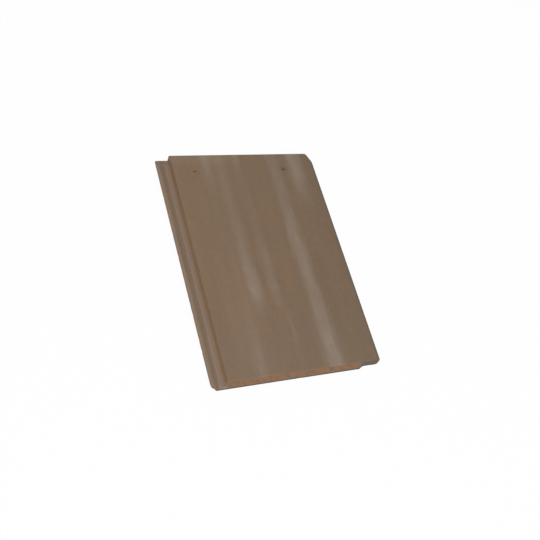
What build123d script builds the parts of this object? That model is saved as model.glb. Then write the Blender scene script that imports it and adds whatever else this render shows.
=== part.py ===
"""Flat interlocking concrete roof tile, pressed and rolled as one piece.

The tile lies level, top face up. X runs across it from the water channel (left) to the
cover flange (right), Y runs up it from the nose to the head, and Z is up. The origin is
under the middle of the tile's box. All sizes are in millimetres.
"""

from build123d import *
import os

# Whole tile
tile_length = 432.0
nose_depth = 23.0
cover_width = 282.0
joint_gap = 2.0

# Water channel strip, the lower half of the side lock, along the left edge
lock_thickness = 8.0
outer_crest_width = 5.5
inner_crest_width = 7.0
channel_width = 9.0
channel_depth = 3.0
channel_slope = 1.2
drip_channel_width = 2.0
drip_channel_depth = 1.2
riser_draft = 1.5
channel_stop_length = 10.0
strip_setback = 4.0
strip_heel_run = 5.0
strip_heel_rise = 9.5

# Cover flange, the upper half of the side lock, along the right edge
lap_clearance = 1.0
rebate_gap = 9.0
tongue_side_clearance = 1.3
tongue_end_clearance = 2.0

# Deck and its underside
deck_thickness = 13.5
bearing_rib_depth = 4.5
riser_rib_width = 16.0
rebate_rib_width = 14.0
lug_rib_width = 16.0
head_rim = 9.0
bay_draft_angle = 20.0
bay_corner_radius = 6.0

# Nose bar and the weather bar behind it
nose_bar_length = 26.0
nose_bar_draft = 3.0
weather_bar_gap = 16.0
weather_bar_width = 9.0
weather_bar_lift = 2.0
weather_bar_draft_angle = 15.0

# Lugs that hook over the batten
lug_width = 44.0
lug_length = 15.0
lug_spacing = 118.0
lug_face_to_head = 22.0
lug_end_draft = 3.0

# Nail holes
nail_hole_radius = 2.5
nail_spacing = 175.0
first_nail_to_left_edge = 64.0
nail_to_head = 34.0
nail_mouth_chamfer = 0.6

# Cut edges and corners
nose_bevel_run = 5.0
nose_bevel_drop = 8.0
bevel_foot_radius = 2.0
top_arris_radius = 1.5
nose_foot_radius = 1.5
head_foot_radius = 1.2
strip_corner_cut = 8.5
flange_corner_radius = 7.0
corner_radius = 1.2
head_crop_width = 8.0
head_crop_length = 20.0
head_crop_radius = 7.0
crest_radius = 1.0
flange_edge_radius = 1.2

# Levels and widths that follow from the sizes above
riser_foot = outer_crest_width + channel_width + inner_crest_width + drip_channel_width
deck_edge = riser_foot + riser_draft
tile_width = cover_width + deck_edge - joint_gap
deck_underside = nose_depth - deck_thickness
bearing_plane = deck_underside - bearing_rib_depth
crest_level = bearing_plane + lock_thickness
channel_floor = crest_level - channel_depth
drip_floor = crest_level - drip_channel_depth
channel_stop_start = tile_length - strip_setback - channel_stop_length
flange_underside = crest_level + lap_clearance
tongue_level = channel_floor + lap_clearance
tongue_middle = cover_width + outer_crest_width + channel_width / 2
rebate_wall = cover_width - rebate_gap
overrun = 10.0


def frame_point(from_left, from_nose, height=0.0):
    """A point given from the left edge, the nose and the floor, in the tile's own frame."""
    return Vector(from_left - tile_width / 2, from_nose - tile_length / 2, height)


def cross_section():
    """Section across the tile at full nose depth: channel strip, deck, flange and tongue."""
    channel_left = outer_crest_width
    channel_right = channel_left + channel_width
    drip_left = channel_right + inner_crest_width
    tongue_root = channel_width / 2 - tongue_side_clearance
    tongue_tip = tongue_root - channel_slope
    corners = [
        (strip_heel_run, 0.0, 0.0),
        (0.0, strip_heel_rise, 0.0),
        (0.0, crest_level, crest_radius),
        (channel_left, crest_level, crest_radius),
        (channel_left + channel_slope, channel_floor, crest_radius),
        (channel_right - channel_slope, channel_floor, crest_radius),
        (channel_right, crest_level, crest_radius),
        (drip_left, crest_level, crest_radius),
        (drip_left + channel_slope, drip_floor, 0.0),
        (riser_foot, drip_floor, 0.0),
        (deck_edge, nose_depth, 0.0),
        (tile_width, nose_depth, 0.0),
        (tile_width, flange_underside, flange_edge_radius),
        (tongue_middle + tongue_root, flange_underside, 0.0),
        (tongue_middle + tongue_tip, tongue_level, 0.0),
        (tongue_middle - tongue_tip, tongue_level, 0.0),
        (tongue_middle - tongue_root, flange_underside, 0.0),
        (rebate_wall, flange_underside, crest_radius),
        (rebate_wall, 0.0, crest_radius),
    ]
    points = [(x - tile_width / 2, z) for x, z, radius in corners]
    radii = [radius for x, z, radius in corners]
    outline = FilletPolyline(*points, radius=radii, close=True)
    return Plane.XZ * make_face(outline)


def side_profile():
    """Profile along the tile: bevelled nose, nose bar, bearing plane, square-cut head."""
    corners = [
        (0.0, 0.0, nose_foot_radius),
        (0.0, nose_depth - nose_bevel_drop, bevel_foot_radius),
        (nose_bevel_run, nose_depth, 0.0),
        (tile_length, nose_depth, 0.0),
        (tile_length, bearing_plane, head_foot_radius),
        (nose_bar_length + nose_bar_draft, bearing_plane, nose_foot_radius),
        (nose_bar_length, 0.0, nose_foot_radius),
    ]
    points = [(y - tile_length / 2, z) for y, z, radius in corners]
    radii = [radius for y, z, radius in corners]
    outline = FilletPolyline(*points, radius=radii, close=True)
    return Plane.YZ * make_face(outline)


def plan_outline():
    """Outline from above: cut and rounded nose corners, cropped head corner, short strip."""
    strip_end = (riser_foot + deck_edge) / 2
    corners = [
        (0.0, strip_corner_cut, corner_radius),
        (strip_corner_cut, 0.0, corner_radius),
        (tile_width, 0.0, flange_corner_radius),
        (tile_width, tile_length - head_crop_length, head_crop_radius),
        (tile_width - head_crop_width, tile_length, head_crop_radius),
        (strip_end, tile_length, 0.0),
        (strip_end, tile_length - strip_setback, 0.0),
        (0.0, tile_length - strip_setback, corner_radius),
    ]
    points = [frame_point(x, y) for x, y, radius in corners]
    radii = [radius for x, y, radius in corners]
    outline = FilletPolyline(*points, radius=radii, close=True)
    return make_face(outline)


def tile_blank():
    """The tile's body, where its section, its profile and its outline meet."""
    rolled = extrude(cross_section(), amount=tile_length / 2 + overrun, both=True)
    cut_to_length = extrude(side_profile(), amount=tile_width / 2 + overrun, both=True)
    trimmed = extrude(plan_outline(), amount=nose_depth)
    return rolled & cut_to_length & trimmed


def with_rounded_arris(blank):
    """The blank with one small round run along the whole edge of its top face."""
    top_face = blank.faces().sort_by(Axis.Z)[-1]
    return fillet(top_face.edges(), top_arris_radius)


def channel_stop():
    """The closed head end of the channels, level with the strip's crests."""
    left = outer_crest_width - crest_radius
    height = channel_depth + crest_radius
    corner = frame_point(left, channel_stop_start, crest_level - height)
    block = Box(deck_edge - left, channel_stop_length, height,
                align=(Align.MIN, Align.MIN, Align.MIN))
    return Pos(corner) * block


def tongue_end():
    """The head end left off the tongue, which clears the next tile's channel stop."""
    start = channel_stop_start - tongue_end_clearance
    corner = frame_point(tongue_middle - channel_width / 2, start)
    block = Box(channel_width, tile_length - start, flange_underside,
                align=(Align.MIN, Align.MIN, Align.MIN))
    return Pos(corner) * block


def lug_centres():
    """Distances of the two lugs from the left edge, either side of the deck's middle."""
    deck_middle = (deck_edge + rebate_wall) / 2
    return [deck_middle - lug_spacing / 2, deck_middle + lug_spacing / 2]


def bay_spans():
    """Left and right ends of the three hollows between the bearing ribs."""
    left_lug, right_lug = lug_centres()
    half_rib = lug_rib_width / 2
    return [
        (deck_edge + riser_rib_width, left_lug - half_rib),
        (left_lug + half_rib, right_lug - half_rib),
        (right_lug + half_rib, rebate_wall - rebate_rib_width),
    ]


def underside_bay(left, right):
    """One hollow under the deck, with the mould's draft on its four walls."""
    nose_end = nose_bar_length + nose_bar_draft
    head_end = tile_length - head_rim
    middle = frame_point((left + right) / 2, (nose_end + head_end) / 2, bearing_plane)
    mouth = RectangleRounded(right - left, head_end - nose_end, bay_corner_radius)
    return extrude(Plane(middle) * mouth, amount=bearing_rib_depth, taper=bay_draft_angle)


def weather_bar():
    """The low bar behind the nose bar that stops rain blown up the head lap."""
    front = nose_bar_length + nose_bar_draft + weather_bar_gap
    left = deck_edge
    right = rebate_wall
    height = deck_underside - weather_bar_lift
    middle = frame_point((left + right) / 2, front + weather_bar_width / 2, deck_underside)
    root = Plane(middle, z_dir=(0, 0, -1)) * Rectangle(right - left, weather_bar_width)
    return extrude(root, amount=height, taper=weather_bar_draft_angle)


def lug(centre):
    """One lug: an upright face towards the batten, sloped on its other three sides."""
    face = tile_length - lug_face_to_head
    back = face + lug_length
    profile = make_face(
        Polyline(
            frame_point(centre, face, deck_underside),
            frame_point(centre, face, 0.0),
            frame_point(centre, back - lug_end_draft, 0.0),
            frame_point(centre, back, deck_underside),
            close=True,
        )
    )
    block = extrude(profile, amount=lug_width / 2, dir=(1, 0, 0), both=True)
    ends = block.edges().filter_by(Axis.Y).group_by(Axis.Z)[0]
    return chamfer(ends, length=lug_end_draft)


def nail_hole(from_left):
    """A round hole through the deck with a slightly broken mouth."""
    place = Pos(frame_point(from_left, tile_length - nail_to_head, nose_depth))
    shank = Cylinder(nail_hole_radius, 3 * nose_depth)
    mouth_radius = nail_hole_radius + nail_mouth_chamfer
    mouth = Cone(nail_hole_radius, mouth_radius, nail_mouth_chamfer,
                 align=(Align.CENTER, Align.CENTER, Align.MAX))
    return place * (shank + mouth)


def roof_tile():
    """The whole tile as one solid."""
    tile = with_rounded_arris(tile_blank())
    tile += channel_stop()
    tile -= tongue_end()
    for left, right in bay_spans():
        tile -= underside_bay(left, right)
    tile += weather_bar()
    for centre in lug_centres():
        tile += lug(centre)
    for from_left in (first_nail_to_left_edge, first_nail_to_left_edge + nail_spacing):
        tile -= nail_hole(from_left)
    return tile


os.makedirs("parts", exist_ok=True)
tile = roof_tile()
export_step(tile, "parts/roof_tile.step")
box = tile.bounding_box()
print("solids", len(tile.solids()), "volume", round(tile.volume), "mm3")
print("box", box.min, box.max)
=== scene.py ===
# %% [markdown]
# A flat concrete roof tile, finished around its construction model.
#
# The real tile is one piece of pressed concrete. A slipper draws a long ribbon of wet mix along
# a line of metal moulds, a knife cuts it into lengths, and a thin coloured slurry goes on top.
# So the top is smooth with long drag streaks, the cut nose is torn and shows the mix, and the
# underside is as smooth as its mould. The model gives the exact shape. This script gives the
# wear and the finish, and keeps every size as it is.

# %% Load the frame and keep its box
from math import radians

import bmesh
import bpy
from mathutils import Matrix, Vector, noise


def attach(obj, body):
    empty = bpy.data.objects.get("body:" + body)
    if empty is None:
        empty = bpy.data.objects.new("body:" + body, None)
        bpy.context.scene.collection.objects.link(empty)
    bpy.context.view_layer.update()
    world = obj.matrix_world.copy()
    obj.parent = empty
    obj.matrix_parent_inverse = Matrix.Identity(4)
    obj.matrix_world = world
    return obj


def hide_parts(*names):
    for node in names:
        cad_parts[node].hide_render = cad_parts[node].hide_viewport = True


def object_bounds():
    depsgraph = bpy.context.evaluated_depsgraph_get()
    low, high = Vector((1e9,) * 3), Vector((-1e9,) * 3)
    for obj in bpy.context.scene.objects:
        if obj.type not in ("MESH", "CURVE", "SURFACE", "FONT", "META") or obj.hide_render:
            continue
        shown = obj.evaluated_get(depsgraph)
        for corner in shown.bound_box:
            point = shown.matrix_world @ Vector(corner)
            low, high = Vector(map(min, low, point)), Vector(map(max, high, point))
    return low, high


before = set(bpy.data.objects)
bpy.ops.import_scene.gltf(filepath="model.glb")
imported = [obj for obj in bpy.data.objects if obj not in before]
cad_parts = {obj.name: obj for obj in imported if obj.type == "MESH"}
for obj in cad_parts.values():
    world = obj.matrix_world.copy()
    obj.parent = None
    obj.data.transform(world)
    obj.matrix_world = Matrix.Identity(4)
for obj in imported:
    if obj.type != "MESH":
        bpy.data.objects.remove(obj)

model_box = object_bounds()
tile_width, tile_length, tile_depth = [1000 * side for side in model_box[1] - model_box[0]]
print(f"tile {tile_width:.0f} x {tile_length:.0f} x {tile_depth:.0f} mm")

# %% [markdown]
# The camera stands to the left of the nose and looks down on the tile, which lies level.
#
# Three measured directions set it: where it looks, and which way is up and right in the
# picture. An aim point with a fixed up axis would be simpler, but the picture is turned about a
# quarter of a right angle, so the three directions go straight into the camera's matrix.

# %% Camera
lens_in_mm = 52.228
sensor_in_mm = 36.0
camera_place = Vector((-0.5748, -0.5571, 1.1122))
looking_along = Vector((0.42769, 0.39677, -0.81219)).normalized()
picture_up = Vector((0.07699, 0.87926, 0.47008)).normalized()
picture_right = looking_along.cross(picture_up).normalized()
picture_up = picture_right.cross(looking_along)

camera = bpy.data.objects.new("camera", bpy.data.cameras.new("camera"))
camera.data.lens = lens_in_mm
camera.data.sensor_width = sensor_in_mm
turn = Matrix((picture_right, picture_up, -looking_along)).transposed()
camera.matrix_world = Matrix.Translation(camera_place) @ turn.to_4x4()
bpy.context.scene.collection.objects.link(camera)
bpy.context.scene.camera = camera
print("camera", [round(part, 3) for part in camera_place])

# %% [markdown]
# The finishes are sums on the sockets of shader nodes.
#
# A node tree can be wired by hand, one link at a time, but a formula is easier to read and to
# change. A small class wraps a socket, so that Python's own signs add the Math nodes. Every
# other node comes from one method, which sets the node up first and then fills its sockets.

# %% A socket that can be added and multiplied
class Shade:
    """One socket of the material that is being mixed."""

    tree = None

    def __init__(self, socket):
        self.socket = socket

    @classmethod
    def make(cls, kind, settings, sockets, output=0):
        """Adds a node: its settings first, then a value or a link for each socket."""
        node = cls.tree.nodes.new("ShaderNode" + kind)
        for name, value in settings.items():
            if name == "stops":
                set_stops(node.color_ramp, value)
            else:
                setattr(node, name, value)
        for name, value in sockets.items():
            if isinstance(value, Shade):
                cls.tree.links.new(value.socket, node.inputs[name])
            else:
                node.inputs[name].default_value = value
        return Shade(node.outputs[output]) if node.outputs else None

    @staticmethod
    def math(operation, first, second=0.0):
        return Shade.make("Math", {"operation": operation}, {0: first, 1: second})

    def __add__(self, other):
        return Shade.math("ADD", self, other)

    def __sub__(self, other):
        return Shade.math("SUBTRACT", self, other)

    def __rsub__(self, other):
        return Shade.math("SUBTRACT", other, self)

    def __mul__(self, other):
        return Shade.math("MULTIPLY", self, other)

    def __truediv__(self, other):
        return Shade.math("DIVIDE", self, other)

    def __abs__(self):
        return Shade.math("ABSOLUTE", self)

    __radd__ = __add__
    __rmul__ = __mul__


def set_stops(ramp, stops):
    """Gives a ramp its stops, each a place and a strength from 0 to 1, in order."""
    ramp.interpolation = "EASE"
    while len(ramp.elements) < len(stops):
        ramp.elements.new(1.0)
    for element, (place, strength) in zip(ramp.elements, stops):
        element.position = place
        element.color = (strength, strength, strength, 1.0)


def start_material(holder):
    """Clears the nodes of a material or a sky, and aims the next ones there."""
    holder.use_nodes = True
    Shade.tree = holder.node_tree
    Shade.tree.nodes.clear()


# %% Helpers for masks, clouds and colours
def fade(value, start, end):
    """0 at start and 1 at end, with an eased run between them, whichever is larger."""
    sockets = {"Value": value, "From Min": start, "From Max": end}
    return Shade.make("MapRange", {"interpolation_type": "SMOOTHSTEP"}, sockets)


def band(value, low, high, edge):
    """1 between low and high, and 0 from an edge's width outside them."""
    return fade(value, low - edge, low) * fade(value, high + edge, high)


def clouds(place, size, detail=2.0):
    """Soft noise from 0 to 1, in patches of about the given size."""
    sockets = {"Vector": place, "Scale": 1 / size, "Detail": detail}
    return Shade.make("TexNoise", {}, sockets)


def drawn_out(place, factor):
    """Lengths along the tile shrunk, so that a pattern on this place runs long."""
    return Shade.make("VectorMath", {"operation": "MULTIPLY"}, {0: place, 1: (1, 1 / factor, 1)})


def lay(under, over, amount):
    """One colour laid over another, where amount is 1."""
    return Shade.make("Mix", {"data_type": "RGBA"}, {0: amount, 6: under, 7: over}, output=2)


def shaded(colour, amount):
    """A colour made darker or lighter by a grey amount, where 1 leaves it."""
    settings = {"data_type": "RGBA", "blend_type": "MULTIPLY"}
    return Shade.make("Mix", settings, {0: 1.0, 6: colour, 7: amount}, output=2)


def uneven(pattern, spread):
    """A factor around 1 that follows a pattern from 0 to 1, the given spread wide."""
    return (1 - spread / 2) + spread * pattern


def chart(red, green, blue):
    """A colour as a paint chart gives it, from 0 to 255, turned into light."""
    def light(part):
        part = part / 255
        return part / 12.92 if part <= 0.04045 else ((part + 0.055) / 1.055) ** 2.4
    return (light(red), light(green), light(blue), 1.0)


print("slurry as light", [round(part, 3) for part in chart(125, 105, 85)])

# %% [markdown]
# The tile lies on a plain pale floor under soft light.
#
# A large lamp in front and above gives the nose and the top nearly the same light, and the sky
# fills the rest. The floor and the sky look white to the camera and in reflections, through
# Light Path, so the white costs no extra light on the tile, and its soft shadow stays.

# %% Floor and sky
floor_half_side = 4.0
floor_colour = (0.9, 0.9, 0.9, 1.0)
full_white = (1.0, 1.0, 1.0, 1.0)
floor_mesh = bmesh.new()
bmesh.ops.create_grid(floor_mesh, x_segments=1, y_segments=1, size=floor_half_side)
floor = bpy.data.objects.new("floor", bpy.data.meshes.new("floor"))
floor_mesh.to_mesh(floor.data)
floor_mesh.free()
bpy.context.scene.collection.objects.link(floor)


def seen_directly():
    """1 for what the camera sees, by itself, in a mirror or through glass."""
    rays = [Shade.make("LightPath", {}, {}, output=f"Is {kind} Ray")
            for kind in ("Camera", "Glossy", "Transmission")]
    return Shade.math("MAXIMUM", rays[0], Shade.math("MAXIMUM", rays[1], rays[2]))


white_share = 0.96
floor.data.materials.append(bpy.data.materials.new("pale floor"))
start_material(floor.data.materials[0])
matt_floor = Shade.make("BsdfDiffuse", {}, {"Color": floor_colour})
white = Shade.make("Emission", {}, {"Color": full_white, "Strength": 1.0})
whiteness = seen_directly() * white_share
floor_look = Shade.make("MixShader", {}, {0: whiteness, 1: matt_floor, 2: white})
Shade.make("OutputMaterial", {}, {"Surface": floor_look})

sky_strength = 0.58
sky = bpy.data.worlds.new("sky")
bpy.context.scene.world = sky
start_material(sky)
soft_sky = Shade.make("Background", {}, {"Color": full_white, "Strength": sky_strength})
white_sky = Shade.make("Background", {}, {"Color": full_white, "Strength": 1.0})
sky_look = Shade.make("MixShader", {}, {0: seen_directly(), 1: soft_sky, 2: white_sky})
Shade.make("OutputWorld", {}, {"Surface": sky_look})
print("floor", 2 * floor_half_side, "m square, sky", sky_strength)

# %% Lamps
def soft_lamp(name, place, side, power):
    """A square lamp aimed at the middle of the tile."""
    lamp = bpy.data.objects.new(name, bpy.data.lights.new(name, "AREA"))
    lamp.data.size = side
    lamp.data.energy = power
    lamp.location = place
    lamp.rotation_euler = (-Vector(place)).to_track_quat("-Z", "Y").to_euler()
    bpy.context.scene.collection.objects.link(lamp)
    print(name, "at", place, "m,", power, "W")


soft_lamp("front lamp", place=(-0.5, -1.9, 2.3), side=1.6, power=44.0)

# %% [markdown]
# The piece starts as a copy of the construction model's own mesh.
#
# The tile could be modelled again from a grid, but then its lock, bays and lugs could drift from
# the real sizes. The model's mesh comes as loose triangles, so the copy's points are merged and
# its flat triangles joined into whole faces.

# %% Copy and merge
same_point = 0.000002
flat_enough = radians(0.3)

tile_mesh = bmesh.new()
tile_mesh.from_mesh(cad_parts["roof_tile"].data)
bmesh.ops.remove_doubles(tile_mesh, verts=tile_mesh.verts, dist=same_point)
bmesh.ops.dissolve_limit(tile_mesh, angle_limit=flat_enough, verts=tile_mesh.verts,
                         edges=tile_mesh.edges, delimit=set())
print("merged to", len(tile_mesh.verts), "points and", len(tile_mesh.faces), "faces")

# %% [markdown]
# The front left corner is cut across, and a little more of it is gone at the foot.
#
# Such corners are cut in the mould, so that four tiles can meet, and the thin foot comes away
# worn. Its points could be pushed in, but the flats around them would bend. One leaning cut
# through the mesh keeps them flat, and one new face closes the gap that it leaves.

# %% Cut back the foot of the front left corner
low, high = model_box
corner_run = 0.0116
corner_lean = 0.35


def whole(mesh):
    """All points, edges and faces of a mesh, as a cut wants them."""
    return mesh.verts[:] + mesh.edges[:] + mesh.faces[:]


cut_facing = Vector((1, 1, corner_lean)).normalized()
cut_point = low + Vector((corner_run, 0, 0))
cut = bmesh.ops.bisect_plane(tile_mesh, geom=whole(tile_mesh), dist=same_point,
                             plane_co=cut_point, plane_no=cut_facing, clear_inner=True)
rim = [part for part in cut["geom_cut"] if isinstance(part, bmesh.types.BMEdge)]
cut_faces = bmesh.ops.edgeloop_fill(tile_mesh, edges=rim)["faces"]
for face in cut_faces:
    face.normal_update()
    if face.normal.dot(cut_facing) > 0:
        face.normal_flip()
open_edges = [edge for edge in tile_mesh.edges if len(edge.link_faces) != 2]
print("corner cut:", len(cut_faces), "new face,", len(open_edges), "open edges")

# %% [markdown]
# The flat faces are then divided, so that the surface can carry relief.
#
# Subdividing would follow the odd triangles of the model. Straight cuts across the whole mesh
# divide it evenly instead: close together along the nose, where the torn face needs fine relief,
# and wider apart elsewhere. A cut that passes very near a point goes through that point, so that
# no slivers are left.

# %% Cut into an even grid
nose_zone = 0.012
nose_pitch = 0.0015
across_pitch = 0.003
along_pitch = 0.0025
level_pitch = 0.002
least_sliver = 0.0004
shortest_edge = 0.0001


def cut_places(start, end, pitch):
    """Places between start and end, about a pitch apart."""
    count = round((end - start) / pitch)
    return [start + (end - start) * number / count for number in range(1, count)]


def cut_across(mesh, direction, places):
    """Cuts every face of the mesh with a plane at each place along a direction."""
    for place in places:
        bmesh.ops.bisect_plane(mesh, geom=whole(mesh), dist=least_sliver,
                               plane_co=direction * place, plane_no=direction)


nose_end = low.y + nose_zone
cut_across(tile_mesh, Vector((1, 0, 0)), cut_places(low.x, high.x, across_pitch))
cut_across(tile_mesh, Vector((0, 1, 0)), cut_places(low.y, nose_end, nose_pitch))
cut_across(tile_mesh, Vector((0, 1, 0)), cut_places(nose_end, high.y, along_pitch))
cut_across(tile_mesh, Vector((0, 0, 1)), cut_places(low.z, high.z, level_pitch))
bmesh.ops.dissolve_degenerate(tile_mesh, dist=shortest_edge, edges=tile_mesh.edges)
print("cut into", len(tile_mesh.faces), "faces")

# %% [markdown]
# Each point then learns what kind of surface it lies on.
#
# The finish differs on the slurried top, on the walls and the underside that the mould shaped, at
# worn edges and in the inner corners. A material can't ask for that, so the mesh carries it as
# four numbers on every point, taken from the way its faces look and the angle at which they meet.

# %% Mark top, mould side, edges and inner corners
sharp_corner = radians(35)
top_facing = (0.6, 0.9)
upward_facing = (0.4, 0.8)
cut_end_facing = (0.35, 0.70)
clear_mark = 0.9
nose_bevel_reach = 0.0065
head_arris_reach = 0.003
top_mark = tile_mesh.verts.layers.float.new("slurried_top")
mould_mark = tile_mesh.verts.layers.float.new("mould_side")
edge_mark = tile_mesh.verts.layers.float.new("worn_edge")
corner_mark = tile_mesh.verts.layers.float.new("inner_corner")


def share(value, start, end):
    """How far a number is from start to end, held between 0 and 1."""
    return min(1.0, max(0.0, (value - start) / (end - start)))


def on_cut_end(point):
    """1 where the knife cut the ribbon, on the upright faces of the nose and the head."""
    near_end = point.co.y < low.y + nose_bevel_reach or point.co.y > high.y - head_arris_reach
    return share(abs(point.normal.y), *cut_end_facing) if near_end else 0.0


tile_mesh.normal_update()
for point in tile_mesh.verts:
    bends = [edge.calc_face_angle_signed(0.0) for edge in point.link_edges]
    point[top_mark] = share(point.normal.z, *top_facing)
    point[mould_mark] = (1 - share(point.normal.z, *upward_facing)) * (1 - on_cut_end(point))
    point[edge_mark] = share(max(bends), 0.0, sharp_corner)
    point[corner_mark] = share(-min(bends), 0.0, sharp_corner)
marked = sum(1 for point in tile_mesh.verts if point[edge_mark] > clear_mark)
print(marked, "of", len(tile_mesh.verts), "points lie on a sharp edge")

# %% [markdown]
# Handling rounds the sharp edges.
#
# A bevel on every edge would be even and too neat, and it fails where the fillets leave tiny
# edges. Smoothing only the points on the edges rounds them a little more where the cells are
# wide, which looks like wear. A point that moves past its neighbour would fold the mesh, so each
# one stays within a share of its shortest edge.

# %% Round the sharp edges
share_of_gap = 0.4
smoothing = 0.35


def room(point):
    """How far a point may move without passing its nearest neighbour."""
    return share_of_gap * min(edge.calc_length() for edge in point.link_edges)


for layer in (edge_mark, corner_mark):
    sharp_points = [point for point in tile_mesh.verts if point[layer] > clear_mark]
    starts = [(point, point.co.copy(), room(point)) for point in sharp_points]
    bmesh.ops.smooth_vert(tile_mesh, verts=sharp_points, factor=smoothing,
                          use_axis_x=True, use_axis_y=True, use_axis_z=True)
    for point, start, most in starts:
        step = point.co - start
        if step.length > most:
            point.co = start + step * (most / step.length)
    print("rounded", len(sharp_points), "points")

# %% [markdown]
# Two small places end in another way than the long section of the tile does.
#
# The tongue under the cover flange dies away before it reaches the nose, and the riser beside
# the channel strip stands upright where the knife cut the head. Both could be cut anew, but the
# grid is already fine enough there, so its points only slide up or sideways by a few millimetres.

# %% Run the tongue out towards the nose
flange_underside = 0.014
tongue_reach = (low.x + 0.286, low.x + 0.298)
runout_start = low.y + 0.012
runout_end = low.y + 0.003

moved = 0
for point in tile_mesh.verts:
    under_flange = tongue_reach[0] < point.co.x < tongue_reach[1]
    if under_flange and point.co.z < flange_underside and point.co.y < runout_start:
        kept = share(point.co.y, runout_end, runout_start)
        point.co.z = flange_underside + (point.co.z - flange_underside) * kept
        moved += 1
print("tongue run out at", moved, "points")

# %% Stand the head end of the riser upright
riser_foot_height = 0.012
riser_lean = 0.0015
riser_place = low.x + 0.0235
riser_top = low.x + 0.026
deck_held = low.x + 0.036
upright_from = high.y - 0.016
upright_to = high.y - 0.006

moved = 0
for point in tile_mesh.verts:
    x, y, z = point.co
    if riser_place < x < deck_held and y > upright_from and z > riser_foot_height:
        height_share = share(z, riser_foot_height, high.z)
        reach = share(x, deck_held, riser_top) * share(y, upright_from, upright_to)
        point.co.x -= riser_lean * height_share * reach
        moved += 1
print("riser set upright at", moved, "points")

# %% [markdown]
# The knife tears the nose, the slipper leaves ripples, and handling chips the edges.
#
# A bump in the material could show all this, but it would vanish on the outline and in a copy of
# the mesh alone. So every point sinks into the tile along its normal by a little noise, never
# outwards, and the tile keeps its size.

# %% Sink the surface by its relief
ripple_depth, ripple_size, ripple_stretch = 0.00022, 0.011, 8
torn_depth, grain_size, fine_grain_size = 0.00045, 0.0035, 0.0016
chip_depth, chip_size, chip_range = 0.0007, 0.006, (0.62, 0.85)
pore_depth, pore_size, pore_range = 0.0005, 0.0045, (0.72, 0.85)
nose_face_end = low.y + 0.006


def lumps(place, size):
    """Smooth noise from 0 to 1, in lumps of the given size."""
    return 0.5 + 0.5 * noise.noise(place / size)


def relief(point):
    """How far this point sinks into the tile, in metres."""
    place = point.co
    along = Vector((place.x, place.y / ripple_stretch, place.z))
    ripple = ripple_depth * lumps(along, ripple_size) * point[top_mark]
    on_nose = (1 - point[top_mark]) * (1 - point[mould_mark]) * share(place.y, nose_face_end, low.y)
    grain = 0.6 * lumps(place, grain_size) + 0.4 * lumps(place, fine_grain_size)
    torn = torn_depth * grain * on_nose
    pores = pore_depth * share(lumps(place, pore_size), *pore_range) * on_nose
    chips = chip_depth * share(lumps(place, chip_size), *chip_range) * point[edge_mark]
    return ripple + torn + pores + chips


tile_mesh.normal_update()
depths = [min(relief(point), room(point)) for point in tile_mesh.verts]
for point, depth in zip(tile_mesh.verts, depths):
    point.co -= point.normal * depth
print(f"deepest relief {1000 * max(depths):.2f} mm, volume {1e6 * tile_mesh.calc_volume():.0f} cm3")

# %% Make the piece
crease = radians(40)
tile_body = bpy.data.objects.new("tile_body", bpy.data.meshes.new("tile_body"))
tile_mesh.to_mesh(tile_body.data)
tile_mesh.free()
tile_body.data.shade_smooth()
tile_body.data.set_sharp_from_angle(angle=crease)
bpy.context.scene.collection.objects.link(tile_body)
tile_body.data.calc_loop_triangles()
print(len(tile_body.data.loop_triangles), "triangles")

# %% [markdown]
# The concrete's finish is mixed from a few layers, as on the real tile.
#
# First comes a ruler: the place on the tile in millimetres from its left edge, its nose and the
# floor, so that every mask below is a plain measure on the piece. Then come the body colour, the
# slurry, the pale streaks that the slipper drags along the tile, and the wear.

# %% Ruler and marks
concrete = bpy.data.materials.new("brown concrete")
tile_body.data.materials.append(concrete)
start_material(concrete)

place = Shade.make("TexCoord", {}, {}, output="Object")
to_mm = (1000, 1000, 1000)
to_corner = (tile_width / 2, tile_length / 2, 0)
sockets = {0: place, 1: to_mm, 2: to_corner}
ruler = Shade.make("VectorMath", {"operation": "MULTIPLY_ADD"}, sockets)
from_left = Shade.make("SeparateXYZ", {}, {0: ruler}, output="X")
from_nose = Shade.make("SeparateXYZ", {}, {0: ruler}, output="Y")
above_floor = Shade.make("SeparateXYZ", {}, {0: ruler}, output="Z")


def mark(name):
    """One of the numbers that the mesh carries on its points."""
    return Shade.make("Attribute", {"attribute_name": name}, {}, output="Fac")


on_top = mark("slurried_top")
on_mould_side = mark("mould_side")
on_edge = mark("worn_edge")
in_corner = mark("inner_corner")
print("ruler from", [-side for side in to_corner])

# %% [markdown]
# The body is brown through and through, and shows where the knife cut it.
#
# On the nose it is warmer and more orange than the slurry, with painted shade at its foot and on
# the lower part of the flange's nose. The slurry has a slight change of tone from left to right and
# soft clouds that run with the tile. One picture of the whole face would show it too, but formulas
# on the ruler stay sharp at any size and can be changed one by one. Every place in them is in mm.

# %% Body and slurry
orange_body = chart(134, 102, 77)
brown_body = chart(119, 95, 76)
flange_grey = chart(101, 88, 76)
painted_flange_shade = chart(84, 73, 63)
strip_end = chart(118, 99, 83)
painted_foot_shade = chart(86, 72, 58)

body_clouds = clouds(ruler, 9.0, 3.0)
body = lay(orange_body, brown_body, fade(body_clouds, 0.40, 0.70))
nose_face = fade(from_nose, 12, 8)
flange_nose = fade(from_left, 267, 272) * nose_face
body = lay(body, flange_grey, flange_nose)
# Painted shade on the lower part of the flange's nose.
body = lay(body, painted_flange_shade, flange_nose * fade(above_floor, 17.5, 14.5) * 0.8)
body = lay(body, strip_end, fade(from_left, 24.5, 21.5) * nose_face * 0.8)
# Painted shade along the foot of the nose.
nose_foot = fade(above_floor, 8.5, 4) * nose_face
body = lay(body, painted_foot_shade, nose_foot * 0.8)

left_slurry = chart(129, 107, 85)
right_slurry = chart(120, 100, 80)
warm_slurry = chart(132, 106, 83)
cool_slurry = chart(122, 104, 88)

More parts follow.
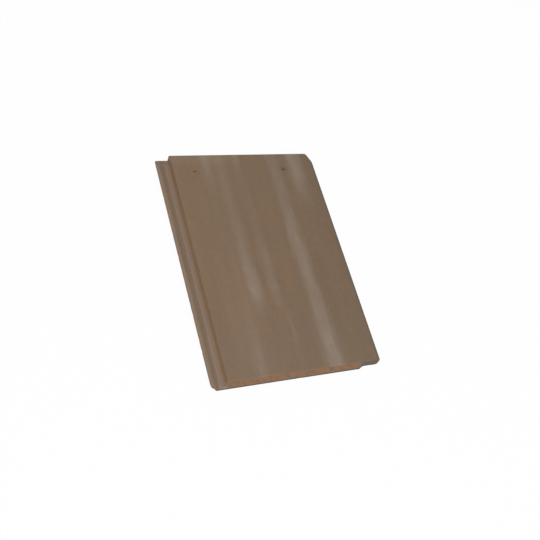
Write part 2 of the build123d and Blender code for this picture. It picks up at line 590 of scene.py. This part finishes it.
slurry = lay(left_slurry, right_slurry, fade(from_left, 25, 305))
slurry_clouds = clouds(drawn_out(ruler, 6.0), 30.0, 3.0)
slurry = shaded(slurry, uneven(slurry_clouds, 0.2))
warm_clouds = fade(clouds(drawn_out(ruler, 2.5), 26.0), 0.52, 0.72)
slurry = lay(slurry, warm_slurry, warm_clouds * 0.35)
slurry = lay(slurry, cool_slurry, fade(from_nose, 130, 40) * 0.35)
mottle = clouds(drawn_out(ruler, 1.6), 6.0, 2.0)
slurry = shaded(slurry, uneven(mottle, 0.16))
print("body and slurry mixed,", len(Shade.tree.nodes), "nodes so far")

# %% [markdown]
# Pale streaks run the length of the tile, where lime in the slurry was drawn out by the slipper.
#
# Each streak has a middle and a reach across the tile, and its strength comes and goes along it.
# The list below says so for each one, because stretched noise alone never puts them where they
# lie here. A little noise makes them wander and frays their sides, and finer noise, drawn out
# much further, splits them into the hair lines of the drag.

# %% Pale drag streaks
streaks = [
    # middle and reach in mm from the left, then (mm from the nose, strength) along it
    (220, 21, [(0, 0.28), (36, 0.34), (110, 0.36), (160, 0.38), (250, 0.40), (350, 0.24),
               (432, 0.24)]),
    (220, 31, [(0, 0.32), (50, 0.17), (130, 0.0)]),
    (114, 17, [(100, 0.0), (128, 0.15), (160, 0.48), (182, 0.46), (210, 0.30), (300, 0.12),
               (432, 0.13)]),
    (148, 15, [(112, 0.0), (138, 0.17), (162, 0.28), (200, 0.25), (290, 0.08), (432, 0.06)]),
    (265, 24, [(312, 0.0), (332, 0.10), (356, 0.27), (384, 0.44), (432, 0.54)]),
    (87, 16, [(0, 0.26), (40, 0.22), (108, 0.13), (200, 0.08), (300, 0.05), (350, 0.04)]),
    (160, 9, [(0, 0.03), (50, 0.08), (84, 0.14), (130, 0.0)]),
    (87, 14, [(340, 0.0), (372, 0.10), (404, 0.26), (432, 0.42)]),
    (147, 13, [(380, 0.0), (432, 0.20)]),
    (64, 11, [(20, 0.0), (60, 0.04), (200, 0.04), (250, 0.0)]),
]
wander_width = 9
fray_width = 11
streak_core = 0.1
lime = chart(153, 139, 127)

wander = (clouds(drawn_out(ruler, 3.0), 30.0) - 0.5) * wander_width
fray = (clouds(drawn_out(ruler, 6.0), 5.0, 2.0) - 0.5) * fray_width
across = from_left + wander + fray
along = from_nose / tile_length


def streak(middle, reach, strengths):
    """One pale streak, as a mask."""
    stops = [(place / tile_length, strength) for place, strength in strengths]
    strength = Shade.make("ValToRGB", {"stops": stops}, {0: along})
    return fade(abs(across - middle), reach, reach * streak_core) * strength


paleness = 0.0
for middle, reach, strengths in streaks:
    paleness = streak(middle, reach, strengths) + paleness

head_margin = fade(from_nose, 404, 424) * fade(from_left, 161, 108) * 0.15
nose_bloom = fade(from_nose, 100, 15) * fade(from_left, 147, 104) * 0.03
hair_lines = clouds(drawn_out(ruler, 60.0), 2.4, 3.0)
breaks = fade(clouds(drawn_out(ruler, 3.0), 14.0, 3.0), 0.30, 0.70)
paleness = paleness + head_margin + nose_bloom
paleness = paleness * uneven(hair_lines, 0.56) * uneven(breaks, 0.44)
slurry = lay(slurry, lime, paleness)
print(len(streaks), "streaks,", len(Shade.tree.nodes), "nodes so far")

# %% [markdown]
# The water channel strip along the left edge got less slurry than the top.
#
# Its outer crest shows the orange body in patches towards the head. Its groove is browner, and
# the riser up to the top is a deeper brown. At the head the groove is closed by a darker stop.
# The strip could be a material of its own, but then its border would be hard. As a mask on the
# ruler it fades into the top. The walls, the drip channel and the stop's wall lie in shade, so they
# are painted lighter, as painted light, and the riser's deeper brown is lightened the same way.

# %% Channel strip
crest_tone = chart(139, 119, 102)
nose_crest_tone = chart(134, 113, 95)
groove_tone = chart(128, 107, 88)
wall_painted_light = chart(147, 125, 104)
nose_wall_painted_light = chart(158, 136, 120)
drip_painted_light = chart(162, 136, 111)
stop_side_tone = chart(133, 114, 97)
stop_middle_tone = chart(121, 103, 89)
stop_wall_painted_light = chart(142, 122, 104)
patch_tone = chart(150, 112, 84)
riser_nose_brown_and_light = chart(146, 120, 92)
riser_head_brown_and_light = chart(139, 114, 88)

before_stop = fade(from_nose, 419.5, 417.5)
groove = band(from_left, 8.0, 12.5, 1.0) * before_stop
strip = lay(crest_tone, groove_tone, groove)
crest_near_nose = band(from_left, 3.6, 5.6, 1.8) * fade(from_nose, 220, 60)
strip = lay(strip, nose_crest_tone, crest_near_nose)
left_wall = band(from_left, 5.5, 7.0, 0.7) * before_stop
right_wall = band(from_left, 13.3, 14.5, 0.7) * before_stop
# Painted light: the channel walls lie in shade, so they are coloured lighter, most near the nose.
strip = lay(strip, wall_painted_light, left_wall + right_wall)
strip = lay(strip, nose_wall_painted_light, right_wall * fade(from_nose, 100, 70) * 0.7)
# Painted light: the narrow drip channel lies in deep shade, so it is coloured lighter.
strip = lay(strip, drip_painted_light, fade(from_left, 20.8, 22.0) * before_stop)
on_stop = fade(from_nose, 417.4, 418.2)
stop_tone = lay(stop_side_tone, stop_middle_tone, band(from_left, 7.5, 12.5, 2.0))
strip = lay(strip, stop_tone, on_stop)
# Painted light: the stop's wall facing the nose is coloured lighter against its shade.
stop_wall = band(from_nose, 416.8, 418.4, 0.6) * band(from_left, 6.5, 13.5, 1.0)
strip = lay(strip, stop_wall_painted_light, stop_wall)
orange_patches = fade(clouds(drawn_out(ruler, 3.0), 9.0), 0.48, 0.66) * fade(from_nose, 150, 380)
strip = lay(strip, patch_tone, orange_patches * fade(from_left, 8.0, 5.0) * 0.7)
# The riser is a deeper brown, lightened as painted light for the shade it lies in.
riser_brown_and_light = lay(riser_nose_brown_and_light, riser_head_brown_and_light, fade(from_nose, 300, 400))
riser = lay(strip, riser_brown_and_light, fade(above_floor, 13.5, 16.0))
strip = lay(strip, riser, fade(from_left, 22.8, 23.4))
on_strip = fade(from_left, 25.2, 24.6)
print("strip mixed,", len(Shade.tree.nodes), "nodes so far")

# %% [markdown]
# Wear and painted shade come last.
#
# Edges lose their slurry and show the body in short runs. The rounded right arris and the inner
# corners get a little painted shade. A scan of a dirty tile could be laid on, but it would fit no
# other shape. Masks from the mesh's own marks follow every edge. All of it keeps to low contrast,
# because a new tile is nearly even in tone from a step away.

# %% Darker right margin, painted shade on the right arris, and worn edges of the top
margin_tone = chart(104, 93, 84)
painted_arris_shade = chart(90, 80, 71)
worn_tone = chart(144, 112, 86)

# The top darkens towards its right edge, and the rounded right arris carries painted shade.
slurry = lay(slurry, margin_tone, fade(from_left, 297, 302) * 0.5)
slurry = lay(slurry, painted_arris_shade, fade(from_left, 301.5, 304.5) * 0.7)
colour = lay(body, slurry, on_top)
worn = on_edge * on_top * fade(from_nose, 14, 7) * fade(body_clouds, 0.40, 0.56)
colour = lay(colour, worn_tone, worn * 0.6)
print("top worn,", len(Shade.tree.nodes), "nodes so far")

# %% [markdown]
# The mould side is greyer, with the bloom that form oil leaves and a few small air bubbles.
#
# Bubbles could be pressed into the mesh, but they are smaller than its cells. A Voronoi pattern
# scatters round dots instead, and only the nearest part of each one is darkened, as painted shade.

# %% Mould side, strip and inner corners
mould_tone = chart(122, 104, 87)
bloom_tone = chart(137, 120, 103)
bubble_shade_tone = chart(88, 74, 60)
painted_corner_shade = chart(86, 68, 50)
bubble_spacing = 8

mould_clouds = clouds(ruler, 34.0, 4.0)
mould_side = lay(mould_tone, bloom_tone, fade(mould_clouds, 0.38, 0.74))
bubble_sockets = {"Vector": ruler, "Scale": 1 / bubble_spacing}
bubble_distance = Shade.make("TexVoronoi", {}, bubble_sockets, output="Distance")
# Painted shade: dark dots stand for the shade inside small air bubbles.
bubbles = fade(bubble_distance, 0.11, 0.06)
mould_side = lay(mould_side, bubble_shade_tone, bubbles * 0.7)
colour = lay(colour, mould_side, on_mould_side)
above_strip_foot = fade(above_floor, 5.0, 9.5)
colour = lay(colour, strip, on_strip * above_strip_foot)
# Painted shade in the inner corners.
colour = lay(colour, painted_corner_shade, in_corner * 0.15)
print("mould side and strip laid on,", len(Shade.tree.nodes), "nodes so far")

# %% [markdown]
# Each nail hole is ringed darker, and the left one has a short dark patch beside it.
#
# The holes are real openings in the mesh. Only the darkening around them is painted, by the
# distance from each hole's middle. Their walls lie in deep shade, so they are painted lighter, as
# painted light.

# %% Nail holes and sand
hole_darkening_tone = chart(92, 76, 60)
hole_wall_tone = chart(174, 146, 119)
nail_holes = [(64, 398, 0.1), (239, 398, 0.5)]
dark_patch_place = (69.5, 393.5)
flat_place = Shade.make("VectorMath", {"operation": "MULTIPLY"}, {0: ruler, 1: (1, 1, 0)})


def away_from(x, y):
    """Distance on the top from a place, given in mm from the left edge and the nose."""
    sockets = {0: flat_place, 1: (x, y, 0)}
    return Shade.make("VectorMath", {"operation": "DISTANCE"}, sockets, output="Value")


for x, y, ring_strength in nail_holes:
    away = away_from(x, y)
    colour = lay(colour, hole_darkening_tone, fade(away, 6.5, 2.4) * ring_strength)
    hole_wall = fade(away, 3.0, 2.7) * fade(above_floor, 22.0, 20.5)
    colour = lay(colour, hole_wall_tone, hole_wall)
dark_patch = fade(away_from(*dark_patch_place), 4.5, 1.0) * on_top
colour = lay(colour, hole_darkening_tone, dark_patch * 0.3)

sand = clouds(ruler, 0.55, 2.0)
colour = shaded(colour, uneven(sand, 0.28))
print(len(nail_holes), "nail holes,", len(Shade.tree.nodes), "nodes so far")

# %% [markdown]
# The last step is how the surface takes the light.
#
# Concrete is matt. The slurry is slightly smoother than the cut body. Sand grain everywhere,
# coarser on the nose, and the finest drag lines on the top would need millions of faces as real
# relief, so only these are left to the bump.

# %% Roughness, bump and the finished material
body_roughness = 0.90
slurry_smoothness = 0.10
sand_sparkle = 0.10
bump_depth = 0.00025
bump_strength = 0.5

roughness = body_roughness - slurry_smoothness * on_top + sand_sparkle * (sand - 0.5)
drag_lines = clouds(drawn_out(ruler, 40.0), 1.6, 2.0) * on_top
coarse_grain = clouds(ruler, 1.4, 3.0) * (1 - on_top)
height = 0.5 * sand + 0.8 * drag_lines + 1.6 * coarse_grain
sockets = {"Strength": bump_strength, "Distance": bump_depth, "Height": height}
bumped = Shade.make("Bump", {}, sockets)

sockets = {"Base Color": colour, "Roughness": roughness, "Normal": bumped}
surface = Shade.make("BsdfPrincipled", {}, {**sockets, "IOR": 1.45, "Specular IOR Level": 0.3})
Shade.make("OutputMaterial", {}, {"Surface": surface})
print(len(Shade.tree.nodes), "nodes in the concrete")

# %% [markdown]
# The finished tile takes the place of the plain solid.
#
# It is one piece, so it rides on the one body that the frame has.

# %% Hand the piece to the frame
bpy.context.scene.view_settings.view_transform = "Standard"
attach(tile_body, "root")
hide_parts("roof_tile")
